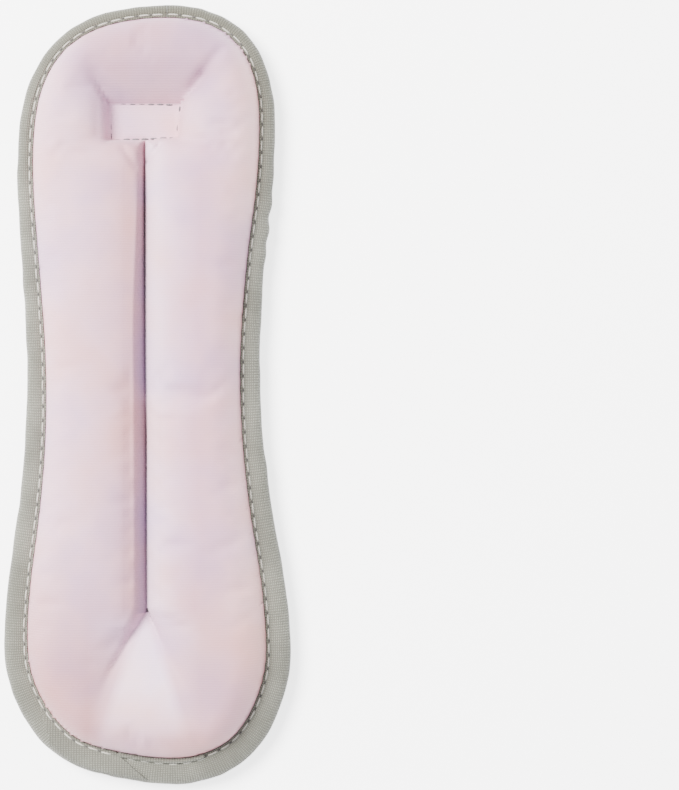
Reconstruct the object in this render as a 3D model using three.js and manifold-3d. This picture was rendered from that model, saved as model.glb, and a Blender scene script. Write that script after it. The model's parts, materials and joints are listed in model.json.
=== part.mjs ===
// Ankle cuff weight: a flat, two-channel padded cuff that curls round a limb.
// Millimetres. The cuff lies skin side up: +Y runs towards the strap end, +Z out of the skin face,
// and z = 0 is the surface that it rests on.
// The pad is cut across its length into rows that turn on one another about X, so that it can curl.

import * as THREE from "three";
import { mergeVertices } from "three/addons/utils/BufferGeometryUtils.js";
import Module from "manifold-3d";

const wasm = await Module();
wasm.setup();

// ---------------------------------------------------------------- driving dimensions

// Outer edge of the cuff, clockwise from the strap-end apex.
const OUTLINE = [
  [7.8, 139.2], [23.1, 137], [31.3, 132.7], [39.5, 124.2], [44.8, 109.9], [45.9, 92],
  [45.2, 74], [42.3, 47.7], [40.4, 12], [41.6, -15], [44.8, -41], [49.5, -68],
  [51.6, -93], [50.5, -103.5], [43.8, -121], [34.5, -132], [18.5, -139],
  [7.8, -139.8], [-10.7, -137.3], [-28.5, -132], [-40.6, -121], [-49.5, -103.5],
  [-51.2, -90], [-49.8, -68], [-45.9, -41], [-43.4, -15], [-42.9, 12], [-44.8, 47.7],
  [-46.3, 74], [-45.9, 92], [-42.7, 109.9], [-34.9, 124.2], [-24.2, 132.7], [-12.5, 137],
];
const OUTLINE_STEPS = 84;

const HINGE_Y = [72, 40, 8, -24, -56, -88];
const HINGE_Z = 10;
const HINGE_ANGLE = 42;

const CREST_Z = 22;
const SEAM_Z = 7.2;
const SKIN_THICKNESS = 2;
const OUTER_THICKNESS = 1.6;
const GAP = 0.3;

const BINDING_MIDDLE_WIDTH = 7.2;
const BINDING_TAPER = 2.4 / 140;
const BINDING_BOTTOM_Z = 5;
const BINDING_TOP_Z = 9.4;

const SEAM_TOP_Y = 90.4;
const SEAM_END_Y = -76;
const BOX_CENTRE_Y = 97.2;
const BOX_WIDTH = 26;
const BOX_HEIGHT = 13;
const THREAD_WIDTH = 1;
const THREAD_THICKNESS = 0.6;

const STRAP_WIDTH = 30;
const STRAP_THICKNESS = 1.4;
const STRAP_FOLD_Y = 105.5;
const STRAP_FOLD_Z = 3;
const STRAP_LEVEL = 1;
const STRAP_ROOT_LENGTH = 16;
const STRAP_LINKS = [36.5, 10.3, 10.3, 64.5];
const STRAP_LINK_GAP = 0.4;
const HOOK_LENGTH = 38;
const HOOK_WIDTH = 28;
const HOOK_THICKNESS = 1;
const HOOK_END_INSET = 2;

const GROOVE_HALF_WIDTH = 16.8;
const GROOVE_Z = 3;
const GROOVE_STRAP_END_Z = 5;
const GROOVE_STRAP_END_Y = 86;
const LOOP_WIDTH = 33;
const LOOP_THICKNESS = 1.2;
const LOOP_BOTTOM_Z = 1.5;
const LOOP_SPANS = [[-86, -60], [-127, -90]];

// A channel this wide or wider between seam and edge is filled to its full height.
const FULL_CHANNEL_WIDTH = 32;
const LEAST_FULLNESS = 0.3;
const UNDERSIDE_FULLNESS = 9;

// Lines along the pad that its plain padded surfaces bend at.
const COLUMNS = [-54, -45, -37, -29, -20.5, -16.8, -10, -2.5, 2.5, 10, 16.8, 20.5, 29, 37, 45, 54];
const ROW_STEP = 8;
const CLOSEST_LINES = 2;
const FIRST_ROW_LENGTH = 72;
const LAST_ROW_LENGTH = 56;
const BOX_FLAT_MARGIN = 3.8;
const FLAT_SEAM_HALF = 3;

const SAND_SEAM_INSET = 4.5;
const SAND_EDGE_INSET = 4;
const SMALLEST_FILL = 200;
const SLIVER = 0.02;
const MERGE_DISTANCE = 1e-4;
const NEARLY_ZERO = 1e-6;

// Blocks that cut the rows apart and stand clear of the cuff all round.
const KNIFE_HALF = 70;
const KNIFE_LENGTH = 210;
const KNIFE_TOP = 30;
const KNIFE_BOTTOM = -5;
const CLEAR_ANGLE = 0.6;

// ---------------------------------------------------------------- materials

function fabric(color, roughness) {
  return new THREE.MeshStandardMaterial({ color, roughness, metalness: 0 });
}

const LOOKS = {
  skin: () => fabric(0xe8d8df, 0.85),
  outer: () => fabric(0xb6b8ae, 0.85),
  binding: () => fabric(0xb3b5ab, 0.8),
  thread: () => fabric(0x55514f, 0.7),
  strap: () => fabric(0xa9aba1, 0.75),
  hook: () => fabric(0x9c9e95, 0.9),
  loop: () => fabric(0xb0b1a8, 0.95),
  sand: () => new THREE.MeshStandardMaterial({ color: 0x4a4643, roughness: 0.6, metalness: 0.3 }),
};

const cuff = new THREE.Group();

function addMesh(name, solid, look) {
  const mesh = new THREE.Mesh(toGeometry(solid), LOOKS[look]());
  mesh.name = name;
  cuff.add(mesh);
}

// ---------------------------------------------------------------- solids and booleans

function toSolid(geometry) {
  const bare = geometry.index ? geometry.toNonIndexed() : geometry.clone();
  bare.deleteAttribute("normal");
  bare.deleteAttribute("uv");
  const merged = mergeVertices(bare, MERGE_DISTANCE);
  return new wasm.Manifold(new wasm.Mesh({
    numProp: 3,
    vertProperties: new Float32Array(merged.attributes.position.array),
    triVerts: new Uint32Array(merged.index.array),
  }));
}

function toGeometry(solid) {
  const mesh = solid.simplify(SLIVER).getMesh();
  const geometry = new THREE.BufferGeometry();
  geometry.setAttribute("position", new THREE.BufferAttribute(mesh.vertProperties, 3));
  geometry.setIndex(new THREE.BufferAttribute(mesh.triVerts, 1));
  geometry.computeVertexNormals();
  return geometry;
}

// A flat plate: a closed outline in plan between two heights.
function plate(outline, bottom, top) {
  const shape = new THREE.Shape(outline);
  const geometry = new THREE.ExtrudeGeometry(shape, { depth: top - bottom, bevelEnabled: false });
  geometry.translate(0, 0, bottom);
  return toSolid(geometry);
}

function block(x0, x1, y0, y1, z0, z1) {
  const geometry = new THREE.BoxGeometry(x1 - x0, y1 - y0, z1 - z0);
  geometry.translate((x0 + x1) / 2, (y0 + y1) / 2, (z0 + z1) / 2);
  return toSolid(geometry);
}

// ---------------------------------------------------------------- outlines

const outerCurve = new THREE.CatmullRomCurve3(
  OUTLINE.map(([x, y]) => new THREE.Vector3(x, y, 0)), true, "centripetal",
);

function bindingWidth(y) {
  return BINDING_MIDDLE_WIDTH - BINDING_TAPER * y;
}

// The outline moved inwards by a width that may change along Y.
function outlineInset(widthAt) {
  const points = [];
  for (let i = 0; i < OUTLINE_STEPS; i += 1) {
    const t = i / OUTLINE_STEPS;
    const point = outerCurve.getPointAt(t);
    const along = outerCurve.getTangentAt(t);
    const width = widthAt(point.y);
    points.push(new THREE.Vector2(point.x + along.y * width, point.y - along.x * width));
  }
  return points;
}

const outerEdge = outlineInset(() => 0);
const bindingInner = outlineInset(bindingWidth);
const panelEdge = outlineInset((y) => bindingWidth(y) + GAP);
const sandEdge = outlineInset((y) => bindingWidth(y) + SAND_EDGE_INSET);

function distanceToSegment(p, a, b) {
  const ab = b.clone().sub(a);
  const t = THREE.MathUtils.clamp(p.clone().sub(a).dot(ab) / ab.lengthSq(), 0, 1);
  return p.distanceTo(a.clone().addScaledVector(ab, t));
}

function distanceToEdge(p) {
  let best = Infinity;
  for (let i = 0; i < bindingInner.length; i += 1) {
    const next = bindingInner[(i + 1) % bindingInner.length];
    best = Math.min(best, distanceToSegment(p, bindingInner[i], next));
  }
  return best;
}

function isInside(p, outline) {
  let inside = false;
  for (let i = 0, j = outline.length - 1; i < outline.length; j = i, i += 1) {
    const a = outline[i];
    const b = outline[j];
    const crosses = (a.y > p.y) !== (b.y > p.y);
    if (crosses && p.x < ((b.x - a.x) * (p.y - a.y)) / (b.y - a.y) + a.x) inside = !inside;
  }
  return inside;
}

function distanceToSeam(p) {
  const seam = distanceToSegment(p, new THREE.Vector2(0, SEAM_TOP_Y), new THREE.Vector2(0, SEAM_END_Y));
  const dx = Math.max(Math.abs(p.x) - BOX_WIDTH / 2 - BOX_FLAT_MARGIN, 0);
  const dy = Math.max(Math.abs(p.y - BOX_CENTRE_Y) - BOX_HEIGHT / 2 - BOX_FLAT_MARGIN, 0);
  return Math.min(Math.max(seam - FLAT_SEAM_HALF, 0), Math.hypot(dx, dy));
}

// ---------------------------------------------------------------- padded surfaces

const PANEL_SEAM_Z = SEAM_Z + GAP / 2;
const SKIN_SEAM_TOP = PANEL_SEAM_Z + SKIN_THICKNESS;
const OUTER_SEAM_BOTTOM = SEAM_Z - GAP / 2 - OUTER_THICKNESS;

// How full the channel is at a point: 0 at its seam and edge, 1 along its crest.
function fullness(x, y) {
  const p = new THREE.Vector2(x, y);
  if (!isInside(p, bindingInner)) return 0;
  const edge = distanceToEdge(p);
  const seam = distanceToSeam(p);
  const across = edge / (edge + seam + NEARLY_ZERO);
  const round = Math.sqrt(Math.max(0, 1 - (2 * across - 1) ** 2));
  return round * THREE.MathUtils.clamp((edge + seam) / FULL_CHANNEL_WIDTH, LEAST_FULLNESS, 1);
}

function skinTop(x, y) {
  return SKIN_SEAM_TOP + (CREST_Z - SKIN_SEAM_TOP) * fullness(x, y);
}

function outerBottom(x, y) {
  const onSeam = Math.abs(x) < FLAT_SEAM_HALF && y > SEAM_END_Y && y < SEAM_TOP_Y;
  if (onSeam) return OUTER_SEAM_BOTTOM;
  const padded = Math.max(0, OUTER_SEAM_BOTTOM - UNDERSIDE_FULLNESS * fullness(x, y));
  if (Math.abs(x) > GROOVE_HALF_WIDTH + GAP) return padded;
  const groove = y > GROOVE_STRAP_END_Y - ROW_STEP ? GROOVE_STRAP_END_Z : GROOVE_Z;
  return Math.max(padded, groove);
}

// Lines across the pad that a row's surfaces bend at: even steps, and the stitched box's flat edges.
function rowLines(y0, y1) {
  const lines = [];
  for (let y = y0; y <= y1; y += ROW_STEP) lines.push(y);
  const flat = BOX_HEIGHT / 2 + BOX_FLAT_MARGIN;
  const edges = [BOX_CENTRE_Y - flat, BOX_CENTRE_Y + flat].filter((y) => y > y0 && y < y1);
  const clear = lines.filter((y) => edges.every((edge) => Math.abs(edge - y) > CLOSEST_LINES));
  return [...clear, ...edges].sort((a, b) => a - b);
}

// A padded sheet over a stretch of the cuff, between two height functions.
function sheet(y0, y1, bottomOf, topOf) {
  const lines = rowLines(y0, y1);
  const rows = lines.length - 1;
  const columns = COLUMNS.length - 1;
  const geometry = new THREE.BoxGeometry(columns, rows, 2, columns, rows, 1);
  geometry.translate(columns / 2, rows / 2, 0);
  const position = geometry.attributes.position;
  for (let i = 0; i < position.count; i += 1) {
    const x = COLUMNS[Math.round(position.getX(i))];
    const y = lines[Math.round(position.getY(i))];
    const height = position.getZ(i) > 0 ? topOf(x, y) : bottomOf(x, y);
    position.setXYZ(i, x, y, height);
  }
  return toSolid(geometry);
}

// ---------------------------------------------------------------- rows of the pad

const rowCount = HINGE_Y.length + 1;

// The space that one row may fill: upright below the hinges, leaning in above them.
function rowSpace(row) {
  const lean = Math.tan(THREE.MathUtils.degToRad(HINGE_ANGLE / 2 + CLEAR_ANGLE)) * (KNIFE_TOP - HINGE_Z);
  const upper = row === 0 ? KNIFE_LENGTH : HINGE_Y[row - 1] - GAP / 2;
  const lower = row === rowCount - 1 ? -KNIFE_LENGTH : HINGE_Y[row] + GAP / 2;
  const section = new THREE.Shape([
    new THREE.Vector2(lower, KNIFE_BOTTOM),
    new THREE.Vector2(upper, KNIFE_BOTTOM),
    new THREE.Vector2(upper, HINGE_Z),
    new THREE.Vector2(upper - lean, KNIFE_TOP),
    new THREE.Vector2(lower + lean, KNIFE_TOP),
    new THREE.Vector2(lower, HINGE_Z),
  ]);
  const geometry = new THREE.ExtrudeGeometry(section, { depth: KNIFE_HALF * 2, bevelEnabled: false });
  geometry.translate(0, 0, -KNIFE_HALF);
  geometry.rotateX(Math.PI / 2);
  geometry.rotateZ(Math.PI / 2);
  return toSolid(geometry);
}

function rowSpan(row) {
  const y0 = row === rowCount - 1 ? HINGE_Y[row - 1] - LAST_ROW_LENGTH : HINGE_Y[row];
  const y1 = row === 0 ? HINGE_Y[0] + FIRST_ROW_LENGTH : HINGE_Y[row - 1];
  return [y0, y1];
}

// One body keeps its plain name; a left and a right body are named from -X to +X.
function addSides(name, row, solid, look) {
  const bodies = solid.decompose().filter((body) => body.volume() > SMALLEST_FILL)
    .map((body) => ({ body, x: body.boundingBox().min[0] }));
  bodies.sort((a, b) => a.x - b.x);
  const sides = bodies.length === 1 ? [""] : ["left_", "right_"];
  bodies.forEach(({ body }, i) => addMesh(`${name}_${sides[i]}${row + 1}`, body, look));
}

const bindingRing = plate(outerEdge, BINDING_BOTTOM_Z, BINDING_TOP_Z)
  .subtract(plate(bindingInner, KNIFE_BOTTOM, KNIFE_TOP));
const panelPrism = plate(panelEdge, KNIFE_BOTTOM, KNIFE_TOP);
const sandPrism = plate(sandEdge, KNIFE_BOTTOM, KNIFE_TOP)
  .subtract(block(-SAND_SEAM_INSET, SAND_SEAM_INSET, SEAM_END_Y, SEAM_TOP_Y, KNIFE_BOTTOM, KNIFE_TOP))
  .subtract(block(
    -BOX_WIDTH / 2 - SAND_SEAM_INSET, BOX_WIDTH / 2 + SAND_SEAM_INSET,
    BOX_CENTRE_Y - BOX_HEIGHT / 2 - SAND_SEAM_INSET, BOX_CENTRE_Y + BOX_HEIGHT / 2 + SAND_SEAM_INSET,
    KNIFE_BOTTOM, KNIFE_TOP,
  ));

// Stitching lies in a shallow trench in the skin panel.
const threadBottom = SKIN_SEAM_TOP - THREAD_THICKNESS;
const halfThread = THREAD_WIDTH / 2;
const seamThreadTop = BOX_CENTRE_Y - BOX_HEIGHT / 2 - halfThread - 3 * GAP;
const seamThread = block(
  -halfThread, halfThread, SEAM_END_Y, seamThreadTop, threadBottom, SKIN_SEAM_TOP + GAP,
);
const seamTrench = block(
  -halfThread - GAP, halfThread + GAP, SEAM_END_Y - GAP, seamThreadTop + GAP, threadBottom - GAP, KNIFE_TOP,
);

function stitchBox(grow) {
  const x = BOX_WIDTH / 2 + grow;
  const y = BOX_HEIGHT / 2 + grow;
  const corners = [[-x, -y], [x, -y], [x, y], [-x, y]];
  return corners.map(([cx, cy]) => new THREE.Vector2(cx, BOX_CENTRE_Y + cy));
}

const boxThread = plate(stitchBox(halfThread), threadBottom, SKIN_SEAM_TOP + GAP)
  .subtract(plate(stitchBox(-halfThread), KNIFE_BOTTOM, KNIFE_TOP));
const boxTrench = plate(stitchBox(halfThread + GAP), threadBottom - GAP, KNIFE_TOP)
  .subtract(plate(stitchBox(-halfThread - GAP), KNIFE_BOTTOM, KNIFE_TOP));

for (let row = 0; row < rowCount; row += 1) {
  const space = rowSpace(row);
  const [y0, y1] = rowSpan(row);
  const skin = sheet(y0, y1, (x, y) => skinTop(x, y) - SKIN_THICKNESS, skinTop)
    .intersect(panelPrism).intersect(space).subtract(seamTrench).subtract(boxTrench);
  const outer = sheet(y0, y1, outerBottom, (x, y) => outerBottom(x, y) + OUTER_THICKNESS)
    .intersect(panelPrism).intersect(space);
  const ceiling = sheet(y0, y1, (x, y) => skinTop(x, y) - SKIN_THICKNESS - GAP, () => KNIFE_TOP + 1);
  const floor = sheet(y0, y1, () => KNIFE_BOTTOM - 1, (x, y) => outerBottom(x, y) + OUTER_THICKNESS + GAP);
  const sand = sandPrism.intersect(space).subtract(ceiling).subtract(floor);
  addMesh(`skin_panel_${row + 1}`, skin, "skin");
  addMesh(`outer_panel_${row + 1}`, outer, "outer");
  addSides("iron_sand", row, sand, "sand");
  addSides("binding_tape", row, bindingRing.intersect(space), "binding");
  if (y1 > SEAM_END_Y) addMesh(`centre_stitch_${row + 1}`, seamThread.intersect(space), "thread");
}
addMesh("box_stitch", boxThread, "thread");

// ---------------------------------------------------------------- strap and hook-and-loop closure

// The strap is sewn on under the box stitch and lies folded back beneath the pad.
const rootZ = STRAP_FOLD_Z + STRAP_LEVEL;
const foldedZ = STRAP_FOLD_Z - STRAP_LEVEL;
const halfStrap = STRAP_WIDTH / 2;
addMesh("strap_root", block(
  -halfStrap, halfStrap, STRAP_FOLD_Y - STRAP_ROOT_LENGTH, STRAP_FOLD_Y - GAP,
  rootZ - STRAP_THICKNESS / 2, rootZ + STRAP_THICKNESS / 2,
), "strap");

let linkStart = STRAP_FOLD_Y;
STRAP_LINKS.forEach((length, i) => {
  const last = i === STRAP_LINKS.length - 1;
  addMesh(`strap_link_${i + 1}`, block(
    -halfStrap, halfStrap, linkStart - length + (last ? 0 : STRAP_LINK_GAP), linkStart - STRAP_LINK_GAP,
    foldedZ - STRAP_THICKNESS / 2, foldedZ + STRAP_THICKNESS / 2,
  ), "strap");
  linkStart -= length;
});
const hookTop = foldedZ - STRAP_THICKNESS / 2 - GAP;
addMesh("hook_tape", block(
  -HOOK_WIDTH / 2, HOOK_WIDTH / 2, linkStart + HOOK_END_INSET, linkStart + HOOK_END_INSET + HOOK_LENGTH,
  hookTop - HOOK_THICKNESS, hookTop,
), "hook");

LOOP_SPANS.forEach(([y0, y1], i) => {
  addMesh(`loop_patch_${i + 1}`, block(
    -LOOP_WIDTH / 2, LOOP_WIDTH / 2, y0, y1, LOOP_BOTTOM_Z, LOOP_BOTTOM_Z + LOOP_THICKNESS,
  ), "loop");
});

export default cuff;
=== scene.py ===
"""Ankle cuff weight: a waisted, two-channel padded cuff lying skin side up.

The design is worked out in millimetres in the frame's axes (+Y to the strap end, +Z out of the skin
face) and scaled to metres as each mesh is made. Each layer of the pad is made whole and then cut into
one piece for each joint that it bends over.
"""
import json
import math

import bmesh
import bpy
import numpy as np
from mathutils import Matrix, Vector

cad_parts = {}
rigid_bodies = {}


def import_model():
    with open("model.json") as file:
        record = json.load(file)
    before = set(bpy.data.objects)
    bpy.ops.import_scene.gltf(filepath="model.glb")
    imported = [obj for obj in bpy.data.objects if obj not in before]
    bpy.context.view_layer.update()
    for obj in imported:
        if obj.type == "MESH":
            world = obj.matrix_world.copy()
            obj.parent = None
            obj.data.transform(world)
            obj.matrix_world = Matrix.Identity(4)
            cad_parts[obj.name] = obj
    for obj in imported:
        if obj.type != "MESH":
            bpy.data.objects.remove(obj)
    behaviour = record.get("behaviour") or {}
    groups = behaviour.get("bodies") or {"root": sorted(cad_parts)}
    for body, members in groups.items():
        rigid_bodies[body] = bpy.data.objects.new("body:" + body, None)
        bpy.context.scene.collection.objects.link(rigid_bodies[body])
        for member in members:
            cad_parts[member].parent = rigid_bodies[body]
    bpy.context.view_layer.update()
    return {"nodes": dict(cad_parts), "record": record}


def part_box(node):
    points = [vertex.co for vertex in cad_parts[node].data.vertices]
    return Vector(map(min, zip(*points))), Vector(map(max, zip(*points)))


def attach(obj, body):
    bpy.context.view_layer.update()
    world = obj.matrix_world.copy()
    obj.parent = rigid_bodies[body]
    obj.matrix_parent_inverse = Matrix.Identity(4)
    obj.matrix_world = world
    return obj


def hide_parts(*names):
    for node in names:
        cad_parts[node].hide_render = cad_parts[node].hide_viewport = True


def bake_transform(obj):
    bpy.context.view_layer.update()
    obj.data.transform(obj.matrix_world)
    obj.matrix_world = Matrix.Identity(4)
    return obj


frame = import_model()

MM = 0.001
REST_PER_MM = 0.01
RNG = np.random.default_rng(7)

# -------- driving dimensions (mm)

OUTLINE = np.array([
    (7.8, 139.2), (23.1, 137), (31.3, 132.7), (39.5, 124.2), (44.8, 109.9), (45.9, 92),
    (45.2, 74), (42.3, 47.7), (40.4, 12), (41.6, -15), (44.8, -41), (49.5, -68),
    (51.6, -93), (50.5, -103.5), (43.8, -121), (34.5, -132), (18.5, -139),
    (7.8, -139.8), (-10.7, -137.3), (-28.5, -132), (-40.6, -121), (-49.5, -103.5),
    (-51.2, -90), (-49.8, -68), (-45.9, -41), (-43.4, -15), (-42.9, 12), (-44.8, 47.7),
    (-46.3, 74), (-45.9, 92), (-42.7, 109.9), (-34.9, 124.2), (-24.2, 132.7), (-12.5, 137),
])
BINDING_MIDDLE_WIDTH = 7.2
BINDING_TAPER = 2.4 / 140

SEAM_TOP = (-0.4, 90.4)
SEAM_END = (0.4, -76.1)
BOX = [(-13.7, 103.7), (12.6, 103.0), (11.4, 91.4), (-13.2, 90.4)]
TOP_LEFT_CREASE = [(-32, 140), (-22.8, 125.9), (-18.1, 118.8), (-15.7, 109.9)]
TOP_RIGHT_CREASE = [(36, 140), (29.2, 124.2), (26.3, 118.8), (23.5, 114.6), (21, 111.4), (16.4, 108.6)]
END_LEFT_CREASE = [
    (-2.1, -82.2), (-5.7, -89.3), (-9.3, -98.2), (-11.7, -107.1), (-14.6, -117.8), (-20, -145),
]
END_RIGHT_CREASE = [
    (1.4, -78.6), (4.3, -85.7), (7.1, -92.9), (11.4, -101.8), (14.9, -110.9), (24, -145),
]
FACET_TOP_Y = -77
FAR = 90

SEAM_Z = 7.2
SKIN_THICKNESS = 2.0
OUTER_THICKNESS = 1.4
SKIN_LOW = 9.3
CREST = 12.8
UNDERSIDE = 0.25
CHANNEL_FLOOR_HALF = 16.5
CHANNEL_TOP_HALF = 20.5
CHANNEL_Z = 3.15
CHANNEL_RAISED = 1.95

TAPE_TOP = 9.9
TAPE_BOTTOM = 5.05
TAPE_THICKNESS = 1.0
TAPE_LINING_GAP = 0.25
CLOTH_INSET_IN_TAPE = 2.2
SCALLOP = 0.16
TAPE_STEPS = 860
SKIN_SIDE_POINTS = 9
JOIN = [(-12.5, -129.0), (3.2, -140.5)]
JOIN_LIFT = 0.95
JOIN_SINK = 0.25
JOIN_FADE_X = -38
LIP_SPAN = (-11, 21)
LIP_RADIUS = 0.85
LIP_RISE = 0.50

LEAST_FILL = 2.2
FILL_INSET = 3.5
FILL_GAP = 0.5

STITCH_INSET = 1.15
STITCH_PITCH = 5.0
STITCH_SHARE = 0.72
STITCH_SINK = 0.18
STITCH_RADIUS = 0.30
HOLE_RADIUS = 0.34
SEAM_STITCH_PITCH = 3.2
SEAM_STITCH_RADIUS = 0.33
KNOT = np.array([(0.2, -76.4, 0.5), (0.9, -77.3, 0.9), (0.1, -78.0, 0.5)])
KNOT_SHIFTS = ((0, 0), (0.5, 0.5), (-0.4, 0.2))
BOX_STITCH_PITCH = 3.3
BOX_STITCH_INSET = 0.6
STRAP_STITCH_PITCH = 2.6
STRAP_STITCH_INSET = 1.2
LAST_STITCH_SLACK = 0.2

STRAP_LINKS = [36.5, 10.3, 10.3, 64.5]
FOLD_FLAT = 5.0
PRESSED_GAP = 0.35

# -------- fineness and cloth simulation

SPLINE_STEPS = 24
GRID_HALF_WIDTH = 50.0
GRID_HALF_LENGTH = 137.0
GRID_STEP = 1.25
FINE_COLUMN_STEP = 0.4
FINE_ROW_STEP = 0.55
SNAP_REACH = 0.68
SHARP_DEGREES = 75
BEYOND = 200

SIM_SCALE = 10
SIM_FRAMES = 20
SIM_PRESSURE = 5.0
SIM_SLACK = 0.03
SIM_STEP = 2.6
LARGEST_MOVE = 0.9

# -------- places read from the frame (mm)


def add_object(name, data):
    item = bpy.data.objects.new(name, data)
    bpy.context.scene.collection.objects.link(item)
    return item


def node_box(node):
    """A CAD node's lowest and highest corners, in millimetres."""
    low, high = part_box(node)
    return np.array(low) / MM, np.array(high) / MM


JOINTS = {joint["name"]: joint for joint in frame["record"]["behaviour"]["joints"]}
PAD_BODIES = ["pad_row_1", "pad_row_2", "pad_row_3", "root", "pad_row_5", "pad_row_6", "pad_row_7"]
PAD_HINGES = [
    next(j["pos_m"][1] / MM for j in JOINTS.values() if {j["parent"], j["child"]} == {a, b})
    for a, b in zip(PAD_BODIES, PAD_BODIES[1:])
]
LAST_ZONE = len(PAD_HINGES) - 1
HALF_ZONE = (PAD_HINGES[0] - PAD_HINGES[1]) / 2
FOLD_Y = JOINTS["strap_unfold"]["pos_m"][1] / MM
FOLD_Z = JOINTS["strap_unfold"]["pos_m"][2] / MM

# -------- curves and distances


def closed_spline(points, count):
    """A closed centripetal Catmull-Rom curve through the points, in even steps along its length."""
    p0, p1, p2, p3 = (np.roll(points, shift, 0) for shift in (1, 0, -1, -2))
    pairs = ((p0, p1), (p1, p2), (p2, p3))
    d0, d1, d2 = (np.sqrt(np.linalg.norm(q - p, axis=1))[:, None] for p, q in pairs)
    leaving = (p1 - p0) / d0 - (p2 - p0) / (d0 + d1) + (p2 - p1) / d1
    arriving = (p2 - p1) / d1 - (p3 - p1) / (d1 + d2) + (p3 - p2) / d2
    leaving, arriving, start, end = (v[:, None, :] for v in (leaving * d1, arriving * d1, p1, p2))
    t = np.linspace(0, 1, SPLINE_STEPS, endpoint=False)[None, :, None]
    curve = (start * (2 * t**3 - 3 * t**2 + 1) + leaving * (t**3 - 2 * t**2 + t)
             + end * (3 * t**2 - 2 * t**3) + arriving * (t**3 - t**2)).reshape(-1, 2)
    even = resample(np.vstack([curve, curve[:1]]), count + 1)[:-1]
    reach = round(count / 90)
    return sum(np.roll(even, k, 0) for k in range(-reach, reach + 1)) / (2 * reach + 1)


def lengths_along(path):
    """How far along a path each of its points lies."""
    return np.concatenate([[0], np.cumsum(np.linalg.norm(np.diff(path, axis=0), axis=1))])


def unit(vectors):
    """The vectors, each scaled to a length of one."""
    return vectors / np.linalg.norm(vectors, axis=1)[:, None]


def resample(path, count):
    """A path's points replaced by a number of points in even steps along it."""
    path = np.asarray(path, float)
    along = lengths_along(path)
    even = np.linspace(0, along[-1], count)
    return np.stack([np.interp(even, along, path[:, k]) for k in range(path.shape[1])], axis=1)


def inward_normals(closed):
    along = unit(np.roll(closed, -1, 0) - np.roll(closed, 1, 0))
    return np.stack([along[:, 1], -along[:, 0]], axis=1)


def tape_width(y):
    return BINDING_MIDDLE_WIDTH - BINDING_TAPER * y


def distance(x, y, path, closed=False):
    """Distance from each point of a grid to a path."""
    path = np.asarray(path, float)
    ends = np.roll(path, -1, 0) if closed else path[1:]
    starts = path if closed else path[:-1]
    best = np.full(x.shape, 1e9)
    for (ax, ay), (bx, by) in zip(starts, ends):
        dx, dy = bx - ax, by - ay
        t = np.clip(((x - ax) * dx + (y - ay) * dy) / (dx * dx + dy * dy + 1e-12), 0, 1)
        best = np.minimum(best, np.hypot(x - ax - t * dx, y - ay - t * dy))
    return best


def inside(x, y, polygon):
    polygon = np.asarray(polygon, float)
    result = np.zeros(x.shape, bool)
    for (ax, ay), (bx, by) in zip(polygon, np.roll(polygon, -1, 0)):
        if ay != by:
            result ^= ((ay > y) != (by > y)) & (x < (bx - ax) * (y - ay) / (by - ay) + ax)
    return result


def signed_distance(x, y, outline):
    """Distance from a closed outline, positive inside it."""
    return distance(x, y, outline, closed=True) * np.where(inside(x, y, outline), 1, -1)


def snapped_to_edge(x, y, signed, outline, reach):
    """The grid with its points nearest an outline moved onto it, so that cloth meets the edge cleanly."""
    near = np.abs(signed) < reach
    step = 0.05
    px, py = x[near], y[near]
    rise_x = signed_distance(px + step, py, outline) - signed_distance(px - step, py, outline)
    rise_y = signed_distance(px, py + step, outline) - signed_distance(px, py - step, outline)
    x, y = x.copy(), y.copy()
    x[near] = px - rise_x / (2 * step) * signed[near]
    y[near] = py - rise_y / (2 * step) * signed[near]
    return x, y


def smoothstep(low, high, value):
    t = np.clip((value - low) / (high - low), 0, 1)
    return t * t * (3 - 2 * t)


def smooth_max(a, b, softness):
    h = np.clip(0.5 + 0.5 * (a - b) / softness, 0, 1)
    return b + (a - b) * h + softness * h * (1 - h)


def rounded_rise(t, power):
    """0 at t = 0, rising steeply and rounding off to 1 at t = 1."""
    t = np.clip(t, 0, 1)
    return (1 - (1 - t) ** power) ** (1 / power)


def bilinear(field, i, j, u, v):
    """A field of rows and columns, read at the fractions u and v across its cell in column i and row j."""
    low = field[j, i] * (1 - u) + field[j, i + 1] * u
    high = field[j + 1, i] * (1 - u) + field[j + 1, i + 1] * u
    return low * (1 - v) + high * v


def value_noise(x, y, cell, seed):
    """Smooth random unevenness of about -1 to 1, with lumps about one cell across."""
    lattice = np.random.default_rng(seed).uniform(-1, 1, (128, 128))
    u, v = x / cell + 64, y / cell + 64
    i, j = np.floor(u).astype(int), np.floor(v).astype(int)
    return bilinear(lattice, i % 127, j % 127, smoothstep(0, 1, u - i), smoothstep(0, 1, v - j))


def surface_at(z, points, columns, rows):
    """Height of a grid surface under points in plan."""
    i = np.clip(np.searchsorted(columns, points[:, 0]) - 1, 0, len(columns) - 2)
    j = np.clip(np.searchsorted(rows, points[:, 1]) - 1, 0, len(rows) - 2)
    u = np.clip((points[:, 0] - columns[i]) / (columns[i + 1] - columns[i]), 0, 1)
    v = np.clip((points[:, 1] - rows[j]) / (rows[j + 1] - rows[j]), 0, 1)
    return bilinear(z, i, j, u, v)


OUTER_EDGE = closed_spline(OUTLINE, 480)
EDGE_NORMALS = inward_normals(OUTER_EDGE)
INNER_EDGE = OUTER_EDGE + EDGE_NORMALS * tape_width(OUTER_EDGE[:, 1:])

# -------- the pad's surfaces


def grid_lines(low, high, step, fine_step, fine_spans):
    """Lines from low to high, closer together inside the fine spans."""
    lines = [low]
    while lines[-1] < high:
        here = lines[-1]
        fine = any(a <= here < b for a, b in fine_spans)
        lines.append(here + (fine_step if fine else step))
    return np.array(lines)


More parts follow.
